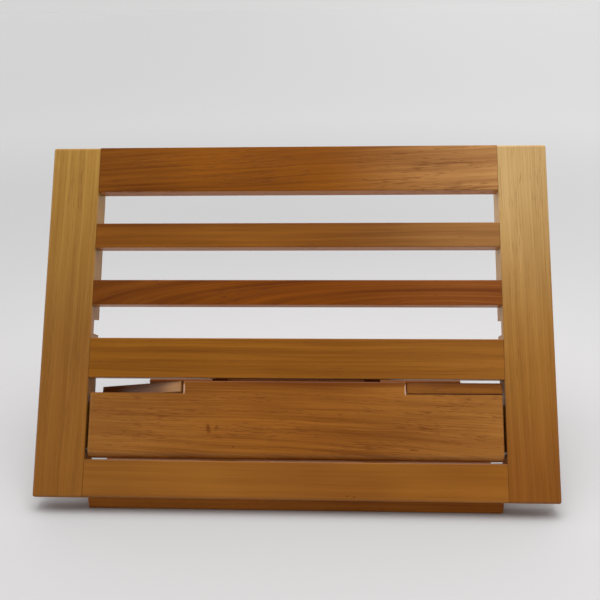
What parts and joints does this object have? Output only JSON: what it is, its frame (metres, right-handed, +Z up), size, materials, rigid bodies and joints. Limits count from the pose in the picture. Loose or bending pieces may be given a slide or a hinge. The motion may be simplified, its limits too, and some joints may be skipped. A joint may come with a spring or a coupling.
{
  "type": "folding book stand",
  "caption": "Slatted wooden tabletop book stand that leans on a hinged prop, with a fold-out ledge and swinging page holders.",
  "frame": {"origin": "on the table, under the middle of the stand's outline at rest", "axes": "+X to the reader's right along the rails, +Y to the back, +Z up"},
  "size_m": [0.34, 0.1912, 0.2161],
  "materials": {
    "stile_wood": "satin",
    "rail_wood": "satin",
    "slat_wood": "satin",
    "ledge_wood": "satin",
    "base_wood": "satin",
    "dowel_wood": "satin",
    "steel": "satin"
  },
  "bodies": {
    "base": {"front_board": "base_wood", "rear_bar": "base_wood", "left_stretcher": "base_wood", "left_stretcher_front_dowel": "dowel_wood", "left_stretcher_rear_dowel": "dowel_wood", "left_hinge_pin": "steel", "left_prop_pin": "steel", "right_stretcher": "base_wood", "right_stretcher_front_dowel": "dowel_wood", "right_stretcher_rear_dowel": "dowel_wood", "right_hinge_pin": "steel", "right_prop_pin": "steel"},
    "panel": {"top_rail": "rail_wood", "upper_slat": "rail_wood", "lower_slat": "slat_wood", "mid_rail": "rail_wood", "bottom_rail": "rail_wood", "left_stile": "stile_wood", "left_ledge_stop": "rail_wood", "left_top_rail_a_dowel": "dowel_wood", "left_top_rail_b_dowel": "dowel_wood", "left_upper_slat_dowel": "dowel_wood", "left_lower_slat_dowel": "dowel_wood", "left_mid_rail_a_dowel": "dowel_wood", "left_mid_rail_b_dowel": "dowel_wood", "left_bottom_rail_a_dowel": "dowel_wood", "left_bottom_rail_b_dowel": "dowel_wood", "right_stile": "stile_wood", "right_ledge_stop": "rail_wood", "right_top_rail_a_dowel": "dowel_wood", "right_top_rail_b_dowel": "dowel_wood", "right_upper_slat_dowel": "dowel_wood", "right_lower_slat_dowel": "dowel_wood", "right_mid_rail_a_dowel": "dowel_wood", "right_mid_rail_b_dowel": "dowel_wood", "right_bottom_rail_a_dowel": "dowel_wood", "right_bottom_rail_b_dowel": "dowel_wood"},
    "prop": {"prop_rail": "base_wood", "catch_rod": "steel", "left_prop_arm": "base_wood", "left_prop_rail_dowel": "dowel_wood", "right_prop_arm": "base_wood", "right_prop_rail_dowel": "dowel_wood"},
    "ledge": {"ledge": "ledge_wood", "left_ledge_pin": "steel", "left_holder_pin": "steel", "right_ledge_pin": "steel", "right_holder_pin": "steel"},
    "left_holder": {"left_page_holder": "ledge_wood"},
    "right_holder": {"right_page_holder": "ledge_wood"}
  },
  "joints": [
    {"name": "panel_tilt", "type": "hinge", "parent": "base", "child": "panel", "pos_m": [0, -0.08112, 0.01], "axis": [-1, 0, 0], "range_deg": [0, 56]},
    {"name": "prop_fold", "type": "hinge", "parent": "base", "child": "prop", "pos_m": [0, -0.00432, 0.0045], "axis": [-1, 0, 0], "range_deg": [0, 108.7]},
    {"name": "ledge_fold", "type": "hinge", "parent": "panel", "child": "ledge", "pos_m": [0, -0.07642, 0.03548], "axis": [1, 0, 0], "range_deg": [0, 90]},
    {"name": "left_holder_swing", "type": "hinge", "parent": "ledge", "child": "left_holder", "pos_m": [-0.0766, -0.05826, 0.06871], "axis": [0, -0.6397, -0.7686], "range_deg": [-19, 71]},
    {"name": "right_holder_swing", "type": "hinge", "parent": "ledge", "child": "right_holder", "pos_m": [0.0766, -0.05826, 0.06871], "axis": [0, 0.6397, 0.7686], "range_deg": [0, 90]}
  ],
  "couplings": [
    {"joint": "prop_fold", "follows": "panel_tilt", "ratio": 1.94}
  ]
}
